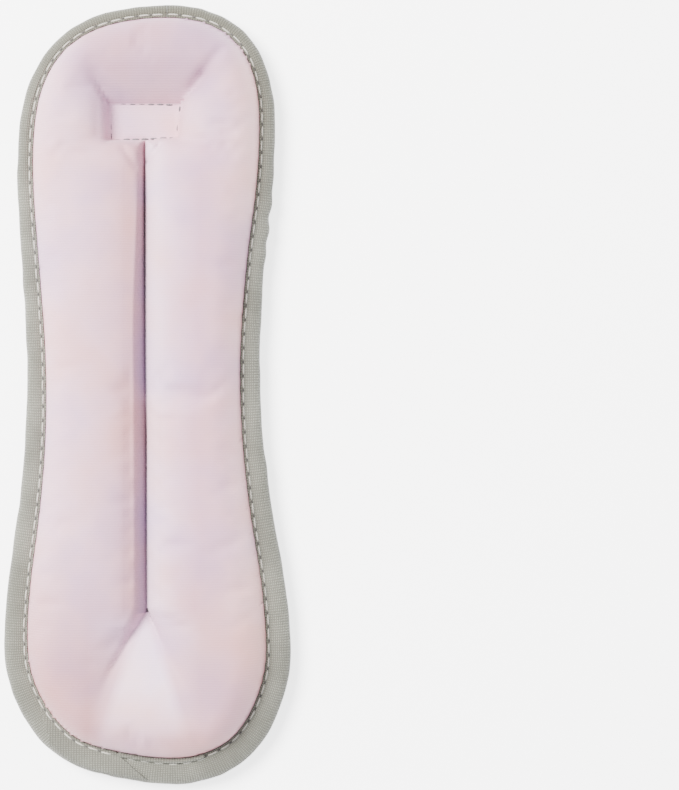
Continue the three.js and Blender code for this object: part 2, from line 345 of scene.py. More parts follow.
COLUMNS = grid_lines(-GRID_HALF_WIDTH, GRID_HALF_WIDTH, GRID_STEP, FINE_COLUMN_STEP, [(-8, 6)])
ROWS = grid_lines(-GRID_HALF_LENGTH, GRID_HALF_LENGTH, GRID_STEP, FINE_ROW_STEP, [(87, 109), (-84, -74)])
X, Y = np.meshgrid(COLUMNS, ROWS)
EDGE_DISTANCE = signed_distance(X, Y, INNER_EDGE[::2])
X, Y = snapped_to_edge(X, Y, EDGE_DISTANCE, INNER_EDGE[::2], SNAP_REACH)
EDGE_DISTANCE = signed_distance(X, Y, INNER_EDGE[::2])
HELD_IN_TAPE = signed_distance(X, Y, OUTER_EDGE[::3])
UNDER_TAPE = smoothstep(0.4, -0.9, EDGE_DISTANCE)

LEFT_BOUNDARY = TOP_LEFT_CREASE + [BOX[0], BOX[3], SEAM_TOP, SEAM_END] + END_LEFT_CREASE
RIGHT_BOUNDARY = TOP_RIGHT_CREASE + [BOX[1], BOX[2], SEAM_TOP, SEAM_END] + END_RIGHT_CREASE


def whole_cells(chosen):
    """The grid's cells that have all four corners chosen."""
    return chosen[:-1, :-1] & chosen[1:, :-1] & chosen[:-1, 1:] & chosen[1:, 1:]


def side_distance(boundary, far_x):
    """Distance from the creases along a channel's inner side, positive towards far_x."""
    polygon = boundary + [(far_x, -2 * FAR), (far_x, 2 * FAR)]
    return distance(X, Y, boundary) * np.where(inside(X, Y, polygon), 1, -1)


def crowned(edge, inner):
    """How a filled channel crowns across its width: 1 along the middle, a little less at its sides."""
    across = np.clip(edge, 0, None) / (np.clip(edge, 0, None) + np.clip(inner, 0, None) + 1e-6)
    return 0.76 + 0.24 * (1 - (2 * across - 1) ** 2)


def blurred(field, times):
    """A field averaged with its neighbours a number of times."""
    for _ in range(times):
        for axis in (0, 1):
            field = (np.roll(field, 1, axis) + 2 * field + np.roll(field, -1, axis)) / 4
    return field


def skin_height():
    """Height of the skin panel's outer face above its seams."""
    left = side_distance(LEFT_BOUNDARY, -FAR)
    right = side_distance(RIGHT_BOUNDARY, FAR)
    edge_rise = rounded_rise(EDGE_DISTANCE / 10.5, 2.2)

    by_box = smoothstep(78, 94, Y)
    past_end = smoothstep(-78, -112, Y)
    past_box = smoothstep(103, 122, Y)
    left_wall = 3.9 - 1.9 * smoothstep(20, 80, Y) + 2.2 * by_box + 2.5 * past_end
    right_wall = 11 - 3 * by_box - 4 * past_end
    left_tube = rounded_rise(left / left_wall, 1.3 + 0.6 * by_box) * crowned(EDGE_DISTANCE, left)
    right_tube = rounded_rise(right / right_wall, 2.6) * crowned(EDGE_DISTANCE, right)

    tip = rounded_rise((Y - 103.4) / 19, 1.6) * crowned(EDGE_DISTANCE, Y - 103.4)
    below_seam = FACET_TOP_Y - Y
    facet_crown = crowned(EDGE_DISTANCE, np.clip(below_seam, 0, None) * 0.8)
    facet = np.clip(below_seam / 41, 0, 1) ** 0.62 * 0.97 * facet_crown

    softness = 0.03 + 0.05 * np.maximum(smoothstep(-95, -120, Y), past_box)
    height = smooth_max(left_tube, right_tube, 0.02)
    height = smooth_max(height, tip, softness)
    height = smooth_max(height, facet, softness)
    lap = np.exp(-(((right - 1.3) / 1.5) ** 2)) * smoothstep(106, 110, Y) * smoothstep(136, 122, Y) * (X > 0)
    height = height + 0.10 * lap
    seam_wall = np.exp(-(((X + 3) / 5) ** 2)) * smoothstep(86, 62, Y) * smoothstep(-82, -52, Y)
    on_top = smoothstep(0.55, 0.88, height) * (1 - seam_wall)
    height = height + (blurred(height, 9) - height) * on_top
    flat_box = inside(X, Y, BOX)
    height = np.where(flat_box, 0.02, height)
    return CREST * height * edge_rise


def dent(start, end, depth, reach):
    """A soft groove of one depth along a short line."""
    return -depth * np.exp(-((distance(X, Y, [start, end]) / reach) ** 2))


def skin_surface():
    """Height of the skin's outer face, with its dents and unevenness, down to where the tape holds it."""
    z = SKIN_LOW + skin_height()
    z += dent((17.0, 108.9), (20.5, 112.8), 1.8, 1.7) + dent((20.5, 112.8), (27.0, 121.5), 1.2, 1.8)
    z += dent((0.7, 82.5), (5.0, 87.9), 1.8, 1.0) + dent((-7.5, 86.8), (-2.8, 80.4), 1.3, 1.2)
    filled = smoothstep(1, 8, z - SKIN_LOW)
    z += filled * (0.32 * value_noise(X, Y, 19, 3) + 0.11 * value_noise(X, Y, 7.5, 4))
    return z * (1 - UNDER_TAPE) + (TAPE_TOP - TAPE_THICKNESS - TAPE_LINING_GAP) * UNDER_TAPE


SIM_COLUMNS = np.arange(-49.4, 49.5, SIM_STEP)
SIM_ROWS = np.arange(-136.5, 136.6, SIM_STEP)


def sim_mesh(points, kept_cells):
    """The simulation's mesh: the kept cells of its even grid, at its larger scale."""
    rows, columns = kept_cells.shape
    index = np.arange((rows + 1) * (columns + 1)).reshape(rows + 1, columns + 1)
    corners = [index[:-1, :-1], index[:-1, 1:], index[1:, 1:], index[1:, :-1]]
    quads = np.stack(corners, axis=-1)[kept_cells]
    mesh = bpy.data.meshes.new("cloth_sim")
    mesh.from_pydata((points * MM * SIM_SCALE).tolist(), [], quads.tolist())
    return mesh


def cloth_move(z):
    """How far slack cloth under pressure, pinned at its seams, lifts or drops the skin."""
    x, y = np.meshgrid(SIM_COLUMNS, SIM_ROWS)
    plan = np.stack([x, y], axis=-1).reshape(-1, 2)
    heights = surface_at(z, plan, COLUMNS, ROWS)
    points = np.column_stack([plan, heights])
    edge = signed_distance(x, y, INNER_EDGE[::3])
    item = add_object("cloth_sim", sim_mesh(points, whole_cells(edge > -0.8)))
    scene = bpy.context.scene
    held = (edge.ravel() < 2.0) | (heights < SKIN_LOW + 2.0)
    pins = item.vertex_groups.new(name="pins")
    pins.add(np.flatnonzero(held).tolist(), 1.0, "REPLACE")
    cloth = item.modifiers.new("cloth", "CLOTH").settings
    cloth.vertex_group_mass = "pins"
    cloth.mass = 0.05
    cloth.quality = 6
    cloth.use_pressure = True
    cloth.uniform_pressure_force = SIM_PRESSURE
    cloth.shrink_min = -SIM_SLACK
    cloth.tension_stiffness = 12
    cloth.compression_stiffness = 12
    cloth.bending_stiffness = 0.8
    cloth.effector_weights.gravity = 0
    for number in range(1, SIM_FRAMES + 1):
        scene.frame_set(number)
    settled = item.evaluated_get(bpy.context.evaluated_depsgraph_get()).to_mesh()
    after = np.zeros(len(settled.vertices) * 3)
    settled.vertices.foreach_get("co", after)
    scene.frame_set(1)
    move = after.reshape(-1, 3)[:, 2] / (MM * SIM_SCALE) - heights
    bpy.data.objects.remove(item)
    move = np.where(held, 0, LARGEST_MOVE * np.tanh(move / LARGEST_MOVE)).reshape(x.shape)
    everywhere = np.stack([X, Y], axis=-1).reshape(-1, 2)
    return surface_at(move, everywhere, SIM_COLUMNS, SIM_ROWS).reshape(X.shape)


def outer_surface():
    """Height of the outer panel's outer face: two soft runs with a channel between them for the strap."""
    low = SEAM_Z - OUTER_THICKNESS - 0.1
    across = rounded_rise(EDGE_DISTANCE / 14, 2.0)
    z = smooth_max(np.maximum(low - 9 * across, UNDERSIDE), UNDERSIDE, 0.8)
    channel = 1 - smoothstep(CHANNEL_FLOOR_HALF, CHANNEL_TOP_HALF, np.abs(X))
    channel_z = CHANNEL_Z + CHANNEL_RAISED * smoothstep(58, 72, Y)
    z = z + (np.maximum(z, channel_z) - z) * channel
    near_seam = np.exp(-((X / 1.6) ** 2)) * smoothstep(-79, -75, Y) * smoothstep(96, 88, Y)
    z += (low - 0.5 - z) * near_seam * (1 - smoothstep(60, 75, Y))
    z += 0.15 * value_noise(X, Y, 11, 8) * (1 - channel) * smoothstep(0.3, 2, z)
    return z * (1 - UNDER_TAPE) + (TAPE_BOTTOM + TAPE_THICKNESS + TAPE_LINING_GAP) * UNDER_TAPE


# -------- mesh makers


def new_object(name, vertices, faces, uvs):
    """A smooth-shaded mesh from millimetre points; uvs holds each vertex's place on the flat cloth, in mm."""
    mesh = bpy.data.meshes.new(name)
    mesh.from_pydata((np.asarray(vertices, float) * MM).tolist(), [], [list(map(int, f)) for f in faces])
    mesh.validate()
    layer = mesh.uv_layers.new(name="rest")
    loops = np.zeros(len(mesh.loops), int)
    mesh.loops.foreach_get("vertex_index", loops)
    layer.data.foreach_set("uv", (np.asarray(uvs, float)[loops] * REST_PER_MM).ravel())
    mesh.polygons.foreach_set("use_smooth", [True] * len(mesh.polygons))
    mesh.set_sharp_from_angle(angle=math.radians(SHARP_DEGREES))
    return add_object(name, mesh)


def layer_between(name, top, bottom, cells):
    """A closed layer over the chosen cells of the pad's grid, between two height fields."""
    rows, columns = X.shape
    count = rows * columns
    index = np.arange(count).reshape(rows, columns)
    a, b = index[:-1, :-1], index[:-1, 1:]
    c, d = index[1:, 1:], index[1:, :-1]
    upper = np.stack([a, b, c, d], axis=-1)[cells]
    lower = upper[:, ::-1] + count
    padded = np.pad(cells, 1)
    walls = []
    for (p, q), beside in (
        ((a, b), padded[:-2, 1:-1]), ((b, c), padded[1:-1, 2:]),
        ((c, d), padded[2:, 1:-1]), ((d, a), padded[1:-1, :-2]),
    ):
        open_side = cells & ~beside
        p, q = p[open_side], q[open_side]
        walls.append(np.stack([q, p, p + count, q + count], axis=-1))
    faces = np.vstack([upper, lower] + walls)
    used, compact = np.unique(faces, return_inverse=True)
    plan = np.stack([X.ravel(), Y.ravel()], axis=1)
    points = np.vstack([
        np.column_stack([plan, top.ravel()]),
        np.column_stack([plan, bottom.ravel()]),
    ])[used]
    return new_object(name, points, compact.reshape(faces.shape), points[:, :2])


def swept(name, rings, uvs, closed_path=True):
    """A closed section carried along a path: rings is (steps, points, 3)."""
    steps, points, _ = rings.shape
    index = np.arange(steps * points).reshape(steps, points)
    following = np.roll(index, -1, 0) if closed_path else index[1:]
    here = index if closed_path else index[:-1]
    faces = np.stack([here, np.roll(here, -1, 1), np.roll(following, -1, 1), following], axis=-1)
    faces = [list(f) for f in faces.reshape(-1, 4)]
    if not closed_path:
        faces += [list(index[0][::-1]), list(index[-1])]
    return new_object(name, rings.reshape(-1, 3), faces, uvs.reshape(-1, 2))


def tube_parts(path, radius, sides=6):
    """Vertices and faces of a round-ended thread along a path of 3D points."""
    path = np.asarray(path, float)
    along = unit(np.gradient(path, axis=0))
    side = np.cross(along, (0, 0, 1.0))
    side /= np.linalg.norm(side, axis=1)[:, None] + 1e-9
    up = np.cross(side, along)
    taper = np.ones(len(path))
    taper[[0, -1]] = 0.45
    angles = np.linspace(0, 2 * math.pi, sides, endpoint=False)
    rings = (path[:, None, :]
             + (np.cos(angles)[None, :, None] * side[:, None, :]
                + np.sin(angles)[None, :, None] * up[:, None, :]) * (radius * taper)[:, None, None])
    index = np.arange(len(path) * sides).reshape(len(path), sides)
    here, following = index[:-1], index[1:]
    quads = np.stack([here, following, np.roll(following, -1, 1), np.roll(here, -1, 1)], axis=-1)
    faces = [list(f) for f in quads.reshape(-1, 4)]
    return rings.reshape(-1, 3), faces + [list(index[0]), list(index[-1][::-1])]


def thread_object(name, stitches, radius):
    """Many short stitches as one object."""
    vertices, faces, count = [], [], 0
    for path in stitches:
        points, quads = tube_parts(path, radius)
        vertices.append(points)
        faces += [[i + count for i in quad] for quad in quads]
        count += len(points)
    vertices = np.vstack(vertices)
    return new_object(name, vertices, faces, vertices[:, :2])


def stitches_along(path, pitch, share, arch, start=0.5, wander=0.0):
    """Arched stitches of one pitch along a 3D path; share is the part of each pitch that shows thread."""
    path = np.asarray(path, float)
    along = lengths_along(path)
    result = []
    for k in range(int((along[-1] - start) / pitch + LAST_STITCH_SLACK)):
        a = start + k * pitch
        spots = np.linspace(a, a + pitch * share, 7)
        points = np.stack([np.interp(spots, along, path[:, i]) for i in range(3)], axis=1)
        points[:, :2] += RNG.normal(0, wander, 2)
        points[:, 2] += arch * np.sin(np.linspace(0, math.pi, 7)) - 0.12
        result.append(points)
    return result


# -------- cutting at the joints


def keep_between(item, name, upper, lower):
    """A copy of item between two y levels, closed where it is cut."""
    bm = bmesh.new()
    bm.from_mesh(item.data)
    for level, clear_outer in ((upper, True), (lower, False)):
        bmesh.ops.bisect_plane(
            bm, geom=bm.verts[:] + bm.edges[:] + bm.faces[:], dist=1e-7,
            plane_co=(0, level * MM, 0), plane_no=(0, 1, 0),
            clear_outer=clear_outer, clear_inner=not clear_outer,
        )
    rim = [e for e in bm.edges if e.is_boundary]
    if rim:
        for face in bmesh.ops.holes_fill(bm, edges=rim, sides=0)["faces"]:
            face.smooth = False
            for edge in face.edges:
                edge.smooth = False
    mesh = bpy.data.meshes.new(name)
    bm.to_mesh(mesh)
    bm.free()
    return add_object(name, mesh)


def zone_limits(zone):
    """The y levels that a joint's piece lies between, and those that it bends between."""
    start, end = PAD_HINGES[zone] + HALF_ZONE, PAD_HINGES[zone] - HALF_ZONE
    return (BEYOND if zone == 0 else start), (-BEYOND if zone == LAST_ZONE else end), start, end


def finish_piece(piece, material, replaced):
    """Gives a piece its one material, bakes its place into its mesh, and hides the CAD nodes that it
    replaces.
    """
    piece.data.materials.clear()
    piece.data.materials.append(material)
    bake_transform(piece)
    if replaced:
        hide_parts(*replaced)


def nodes_in_zone(stem, zone):
    """One layer's CAD nodes that a joint's piece stands for; the last piece stands for two rows."""
    rows = [zone + 1] + ([zone + 2] if zone == LAST_ZONE else [])
    names = [f"{stem}{side}{row}" for row in rows for side in ("_", "_left_", "_right_")]
    return [name for name in names if name in frame["nodes"]]


def cut_at_joints(item, name, material, stem=None):
    """Cuts a whole layer into one piece for each joint of the pad."""
    for zone in range(len(PAD_HINGES)):
        upper, lower, start, end = zone_limits(zone)
        piece = keep_between(item, f"{name}_{zone + 1}", upper, lower)
        if not len(piece.data.polygons):
            bpy.data.objects.remove(piece)
            continue
        replaced = nodes_in_zone(stem, zone) if stem else []
        finish_piece(piece, material, replaced)
    bpy.data.objects.remove(item)


def share_stitches(stitches, radius, name, material, stem=None):
    """Sorts stitches by the joint that they lie over, and makes one piece for each joint."""
    for zone in range(len(PAD_HINGES)):
        upper, lower, start, end = zone_limits(zone)
        own = [s for s in stitches if lower <= s[:, 1].mean() < upper]
        if not own:
            continue
        piece = thread_object(f"{name}_{zone + 1}", own, radius)
        replaced = nodes_in_zone(stem, zone) if stem else []
        finish_piece(piece, material, replaced)


# -------- materials


class Shader:
    """A small helper that adds linked nodes to one material."""

    def __init__(self, name, roughness, sheen=0.0, sheen_tint=(1, 1, 1)):
        self.material = bpy.data.materials.new(name)
        self.material.use_nodes = True
        self.tree = self.material.node_tree
        self.surface = self.tree.nodes["Principled BSDF"]
        self.surface.inputs["Roughness"].default_value = roughness
        self.surface.inputs["Sheen Weight"].default_value = sheen
        self.surface.inputs["Sheen Roughness"].default_value = 0.45
        self.surface.inputs["Sheen Tint"].default_value = (*sheen_tint, 1)
        self.place = self.node("ShaderNodeUVMap", uv_map="rest").outputs[0]

    def node(self, kind, inputs=None, **settings):
        made = self.tree.nodes.new(kind)
        for key, value in settings.items():
            setattr(made, key, value)
        for key, value in (inputs or {}).items():
            if isinstance(value, bpy.types.NodeSocket):
                self.tree.links.new(value, made.inputs[key])
            else:
                made.inputs[key].default_value = value
        return made

    def scaled(self, x, y):
        inputs = {"Vector": self.place, "Scale": (x, y, 1)}
        return self.node("ShaderNodeMapping", inputs).outputs[0]

    def noise(self, scale, detail=2.0, vector=None):
        inputs = {"Vector": vector or self.place, "Scale": scale, "Detail": detail}
        return self.node("ShaderNodeTexNoise", inputs).outputs["Fac"]

    def wave(self, scale, direction, distortion=0.0, detail_scale=1.0):
        inputs = {"Vector": self.place, "Scale": scale, "Distortion": distortion}
        inputs["Detail Scale"] = detail_scale
        return self.node("ShaderNodeTexWave", inputs, bands_direction=direction).outputs["Fac"]

    def range(self, value, low, high):
        """0 at low, 1 at high, straight between them and held beyond them."""
        return self.node("ShaderNodeMapRange", {"Value": value, "From Min": low, "From Max": high}).outputs[0]

    def product(self, *factors):
        result = factors[0]
        for factor in factors[1:]:
            result = self.math("MULTIPLY", result, factor)
        return result

    def math(self, operation, a, b):
        return self.node("ShaderNodeMath", {0: a, 1: b}, operation=operation).outputs[0]

    def ramp(self, factor, stops):
        made = self.node("ShaderNodeValToRGB", {"Fac": factor})
        elements = made.color_ramp.elements
        while len(elements) < len(stops):
            elements.new(0.5)
        for element, (place, color) in zip(elements, stops):
            element.position = place
            element.color = (*color, 1)
        return made.outputs["Color"]

    def mix(self, factor, a, b, blend="MIX"):
        made = self.node("ShaderNodeMix", data_type="RGBA", blend_type=blend)
        for key, value in ((0, factor), (6, a), (7, b)):
            if isinstance(value, bpy.types.NodeSocket):
                self.tree.links.new(value, made.inputs[key])
            else:
                made.inputs[key].default_value = value if key == 0 else (*value, 1)
        return made.outputs[2]

    def color(self, socket):
        self.tree.links.new(socket, self.surface.inputs["Base Color"])

    def roughness(self, socket, low, high):
        made = self.node("ShaderNodeMapRange", {"Value": socket, "To Min": low, "To Max": high})
        self.tree.links.new(made.outputs[0], self.surface.inputs["Roughness"])

    def bumps(self, *layers):
        """Layers of (height socket, strength, distance in metres), coarse to fine."""
        normal = None
        for height, strength, depth in layers:
            inputs = {"Height": height, "Strength": strength, "Distance": depth}
            if normal is not None:
                inputs["Normal"] = normal
            normal = self.node("ShaderNodeBump", inputs).outputs[0]
        self.tree.links.new(normal, self.surface.inputs["Normal"])


# The rest coordinates run at 1 unit for each 100 mm, so a wave of this scale has one band a millimetre.
BAND_PER_MM = 10 * math.pi

# Painted light and shade across the cuff, from -0.5 to 0.5 in units of 100 mm: each channel starts pale on
# its left, a painted highlight on the side that faces the key light, and turns darker and rosier to its
# right, painted shade on the side turned away from it.
SKIN_LIGHT_AND_SHADE_ACROSS = [
    (-0.45, (0.61, 0.410, 0.480)), (-0.24, (0.60, 0.385, 0.465)), (-0.13, (0.53, 0.315, 0.360)),
    (-0.055, (0.45, 0.240, 0.255)), (-0.004, (0.44, 0.240, 0.280)), (0.004, (0.68, 0.520, 0.640)),
    (0.045, (0.68, 0.500, 0.610)), (0.11, (0.57, 0.370, 0.470)), (0.19, (0.50, 0.290, 0.370)),
    (0.28, (0.56, 0.335, 0.390)), (0.36, (0.68, 0.430, 0.450)), (0.45, (0.74, 0.500, 0.500)),
]
SKIN_MIDDLE = (0.60, 0.400, 0.480)
# Darker and rosier above the stitched box: partly the cloth's own tone, partly painted shade.
SKIN_BULGE_TONE_AND_SHADE = (0.35, 0.195, 0.270)
# Darker and rosier at the far end: partly the cloth's own tone, partly painted shade.
SKIN_END_TONE_AND_SHADE = (0.37, 0.170, 0.165)
# Painted shade for the wall left of the centre seam.
SKIN_SEAM_WALL_SHADE = (0.250, 0.190, 0.280)
# Painted highlight for the facet below the seam's end.
SKIN_FACET_HIGHLIGHT = (0.78, 0.620, 0.740)


def skin_material():
    """Smooth knitted facing on foam: pale pink that drifts to lavender and to a rosier beige,
    with painted shade and painted highlights across its channels and at its ends.
    """
    s = Shader("skin_knit", 0.8, sheen=0.25, sheen_tint=(1.0, 0.93, 0.97))
    parts = s.node("ShaderNodeSeparateXYZ", {"Vector": s.place}).outputs
    x, y = parts["X"], parts["Y"]
    wander = s.math("MULTIPLY", s.math("SUBTRACT", s.noise(3.5, 3), 0.5), 0.16)
    from_middle = s.math("ABSOLUTE", x, 0.0)
    off_seam = s.product(wander, s.range(from_middle, 0.02, 0.12))
    across = s.math("ADD", s.math("ADD", x, 0.5), off_seam)
    # The ramp paints light and shade across the channels.
    base = s.ramp(across, [(place + 0.5, color) for place, color in SKIN_LIGHT_AND_SHADE_ACROSS])
    past_seam = s.math("MAXIMUM", s.range(y, 0.87, 0.93), s.range(y, -0.75, -0.82))
    base = s.mix(s.product(past_seam, s.range(from_middle, 0.34, 0.16)), base, SKIN_MIDDLE)

    # Above the box: partly the cloth's rosier tone, partly painted shade on the slope that faces away from
    # the light.
    bulge = s.product(s.range(y, 1.00, 1.15), s.range(from_middle, 0.36, 0.20), 0.85)
    base = s.mix(bulge, base, SKIN_BULGE_TONE_AND_SHADE)
    # Beside and below the facet, towards the far end: partly the cloth's rosier tone, partly painted shade on
    # faces turned away from the light.
    right_fade = s.math("SUBTRACT", 1.0, s.math("MULTIPLY", s.range(x, 0.0, 0.3), 0.35))
    off_facet = s.range(from_middle, 0.06, 0.20)
    beside_facet = s.product(s.range(y, -0.50, -1.00), off_facet, right_fade, 0.80)
    below_facet = s.product(s.range(y, -1.10, -1.34), 0.80)
    base = s.mix(s.math("MAXIMUM", beside_facet, below_facet), base, SKIN_END_TONE_AND_SHADE)
    # Painted highlight on the flat facet below the seam's end, which faces the light.
    facet_half = s.math("MULTIPLY", s.math("SUBTRACT", -0.76, y), 0.34)
    in_facet = s.range(s.math("SUBTRACT", from_middle, facet_half), 0.02, -0.02)
    facet = s.product(in_facet, s.range(y, -1.22, -1.02), 0.85)
    base = s.mix(facet, base, SKIN_FACET_HIGHLIGHT)
    # Painted shade: a dark grey-purple strip on the left channel's wall beside the seam.
    wall = s.product(
        s.range(x, -0.040, -0.014), s.math("LESS_THAN", x, 0.003),
        s.range(y, 0.88, 0.45), s.math("GREATER_THAN", y, -0.78), 0.8,
    )
    base = s.mix(wall, base, SKIN_SEAM_WALL_SHADE)

    patches = s.ramp(s.noise(3.0, 3), [
        (0.36, (0.80, 0.76, 0.90)), (0.5, (0.94, 0.86, 0.87)), (0.64, (0.95, 0.80, 0.72)),
    ])
    color = s.mix(1.0, base, patches, "MULTIPLY")
    courses = s.wave(BAND_PER_MM / 0.85, "Y", 0.6, 8)
    yarn = s.noise(230, 1, s.scaled(1, 1.8))
    color = s.mix(0.09, color, s.ramp(courses, [(0, (0.34, 0.22, 0.29)), (1, (0.75, 0.55, 0.62))]))
    s.color(color)
    s.roughness(yarn, 0.72, 0.88)
    s.bumps((s.noise(22, 2), 0.25, 0.0004), (courses, 0.25, 0.00012), (yarn, 0.25, 0.00012))
    return s.material


def tape_material(name, light, dark, rib_mm, tip=None):
    """Fine ribbed tape: ribs across it, finer warp ends along it, and a tip of its own tone at its ends."""
    s = Shader(name, 0.75, sheen=0.15)
    ribs = s.wave(BAND_PER_MM / rib_mm, "X", 1.6, 5)
    ends = s.wave(BAND_PER_MM / (rib_mm * 0.7), "Y", 1.2, 5)
    weave = s.math("MULTIPLY", ribs, ends)
    tone = s.ramp(s.noise(5, 3), [(0.35, dark), (0.65, light)])
    if tip:
        length, tip_color = tip
        along = s.node("ShaderNodeSeparateXYZ", {"Vector": s.place}).outputs["X"]
        from_middle = s.math("ABSOLUTE", s.math("SUBTRACT", along, length / 2), 0.0)
        tone = s.mix(s.range(from_middle, 0.36 * length, 0.5 * length), tone, tip_color)
    gaps = s.ramp(weave, [(0.0, (0.50, 0.50, 0.46)), (0.6, (1.12, 1.12, 1.08))])
    s.color(s.mix(1.0, tone, gaps, "MULTIPLY"))
    s.roughness(s.noise(60, 2), 0.65, 0.85)
    s.bumps((s.noise(16, 2), 0.3, 0.0004), (weave, 0.8, 0.0003))
    return s.material


def cloth_material(name, light, dark, thread_mm):
    """Plain woven cloth."""
    s = Shader(name, 0.8, sheen=0.1)
    warp = s.wave(BAND_PER_MM / thread_mm, "X", 0.5, 5)
    weft = s.wave(BAND_PER_MM / thread_mm, "Y", 0.5, 5)
    weave = s.math("MAXIMUM", warp, weft)
    tone = s.ramp(s.noise(4, 3), [(0.3, dark), (0.7, light)])
    s.color(s.mix(1.0, tone, s.ramp(weave, [(0.3, (0.75, 0.75, 0.74)), (0.9, (1, 1, 1))]), "MULTIPLY"))
    s.roughness(s.noise(40, 2), 0.7, 0.9)
    s.bumps((s.noise(14, 3), 0.4, 0.0006), (weave, 0.45, 0.0002))
    return s.material


def thread_material(name, light, dark):
    """Twisted sewing thread."""
    s = Shader(name, 0.6, sheen=0.2)
    twist = s.wave(BAND_PER_MM / 0.45, "DIAGONAL", 0.4, 3)
    s.color(s.ramp(twist, [(0.2, dark), (0.8, light)]))
    s.bumps((twist, 0.7, 0.00015))
    return s.material


def fuzzy_material(name, light, dark, cell, strength):
    """A brushed or hooked face: a close field of small random tips."""
    s = Shader(name, 0.9, sheen=0.5)
    tips = s.node("ShaderNodeTexVoronoi", {"Vector": s.place, "Scale": cell}).outputs["Distance"]
    s.color(s.mix(1.0, s.ramp(tips, [(0.1, light), (0.7, dark)]), s.ramp(s.noise(6), [
        (0.3, (0.9, 0.9, 0.9)), (0.7, (1, 1, 1))]), "MULTIPLY"))
    s.bumps((tips, strength, 0.0006), (s.noise(300, 2), 0.4, 0.0002))
    return s.material


def sand_material():
    """Dark angular grains with a few that glint."""
    s = Shader("iron_sand_grains", 0.5)
    grains = s.node("ShaderNodeTexVoronoi", {"Vector": s.place, "Scale": 110.0})
    s.color(s.mix(1.0, s.ramp(s.noise(150, 1), [(0.35, (0.05, 0.045, 0.045)), (0.7, (0.16, 0.14, 0.13))]),
                  s.ramp(grains.outputs["Distance"], [(0, (1, 1, 1)), (0.8, (0.4, 0.4, 0.4))]), "MULTIPLY"))
    s.surface.inputs["Metallic"].default_value = 0.35
    s.bumps((grains.outputs["Distance"], 1.0, 0.0008))
    return s.material


SAGE_LIGHT = (0.200, 0.200, 0.170)
SAGE_DARK = (0.140, 0.140, 0.116)

# -------- the pad


def make_panels(skin_z, outer_z):
    """The two fabric panels and the sand between them."""
    panel_cells = whole_cells(HELD_IN_TAPE > CLOTH_INSET_IN_TAPE)
    skin_under = skin_z - SKIN_THICKNESS + 0.8 * UNDER_TAPE
    outer_over = outer_z + OUTER_THICKNESS - 0.3 * UNDER_TAPE
    skin = layer_between("skin", skin_z, skin_under, panel_cells)
    cut_at_joints(skin, "skin_panel_cloth", skin_material(), "skin_panel")
    outer = layer_between("outer", outer_over, outer_z, panel_cells)
    outer_cloth = cloth_material("outer_nylon", (0.21, 0.21, 0.18), (0.17, 0.17, 0.145), 0.6)
    cut_at_joints(outer, "outer_panel_cloth", outer_cloth, "outer_panel")

    filled = (skin_under - outer_over > LEAST_FILL) & (EDGE_DISTANCE > FILL_INSET)
    grain = 0.25 * value_noise(X, Y, 1.7, 21)
    sand_top, sand_bottom = skin_under - FILL_GAP + grain, outer_over + FILL_GAP + grain
    sand = layer_between("sand", sand_top, sand_bottom, whole_cells(filled))
    cut_at_joints(sand, "iron_sand_fill", sand_material(), "iron_sand")


def tape_section(width):
    """The folded tape's section as (distance in from the outer edge, height), top inner edge first."""
    w = width
    top, low, mid = TAPE_TOP, TAPE_BOTTOM, (TAPE_TOP + TAPE_BOTTOM) / 2
    skin_side = [
        (w, top - 0.75), (w - 0.1, top - 0.2), (w - 0.5, top), (w - STITCH_INSET, top - 0.28),
        (w - 2.0, top + 0.05), (0.62 * w, top + 0.18), (0.42 * w, top + 0.1), (0.26 * w, top - 0.22),
        (0.13 * w, top - 0.8), (0.045 * w, top - 1.55), (0, mid),
    ]
    back_side = [(e, low + (top - z)) for e, z in skin_side[-2::-1]]
    t = TAPE_THICKNESS
    lining_back = [
        (w - 0.1, low + t), (w - STITCH_INSET, low + t), (0.45 * w, low + t), (0.24 * w, low + 1.4 * t),
    ]
    lining_skin = [(e, top - (z - low)) for e, z in lining_back[::-1]]
    return skin_side + back_side + lining_back + [(0.16 * w, mid)] + lining_skin


def tape_path():
    """The tape's outer edge, its inward normals, and how far along the tape each point lies."""
    outer = closed_spline(OUTLINE, TAPE_STEPS)
    normals = inward_normals(outer)
    length = np.linalg.norm(np.roll(outer, -1, 0) - outer, axis=1).sum()
    along = np.arange(TAPE_STEPS) * length / TAPE_STEPS
    return outer, normals, along


def join_lift(x):
    """How far the join stands up at each x: all of it at the join, fading out along the tape."""
    return JOIN_LIFT * smoothstep(JOIN_FADE_X + 2, JOIN_FADE_X + 18, x)


def make_join(outer, normals, along):
    """The tape's last end, laid over its first along a slanting line, and fading out where it lies flat."""
    bottom = np.flatnonzero((outer[:, 1] < -100) & (outer[:, 0] > JOIN_FADE_X - 8) & (outer[:, 0] < 30))
    low, high = [], []
    for k in range(SKIN_SIDE_POINTS):
        line = []
        for i in bottom:
            inset, z = tape_section(tape_width(outer[i, 1]))[k]
            line.append((*(outer[i] + normals[i] * inset), z))
        line = np.array(line)
        share = (line[:, 1].min() - JOIN[0][1]) / (JOIN[1][1] - JOIN[0][1])
        start_x = JOIN[0][0] + np.clip(share, 0, 1) * (JOIN[1][0] - JOIN[0][0])
        spots = np.linspace(start_x, JOIN_FADE_X, 40)
        ordered = line[np.argsort(line[:, 0])]
        at = np.column_stack([spots] + [np.interp(spots, ordered[:, 0], ordered[:, i]) for i in (1, 2)])
        lift = join_lift(spots)
        high.append(at + np.column_stack([0 * lift, 0 * lift, lift]))
        low.append(at - (0, 0, JOIN_SINK))
    high, low = np.array(high), np.array(low[::-1])
    rings = np.concatenate([high, low]).transpose(1, 0, 2)
    return swept("binding_join", rings, rings[:, :, :2] + (along[-1] / 2, 0), closed_path=False)


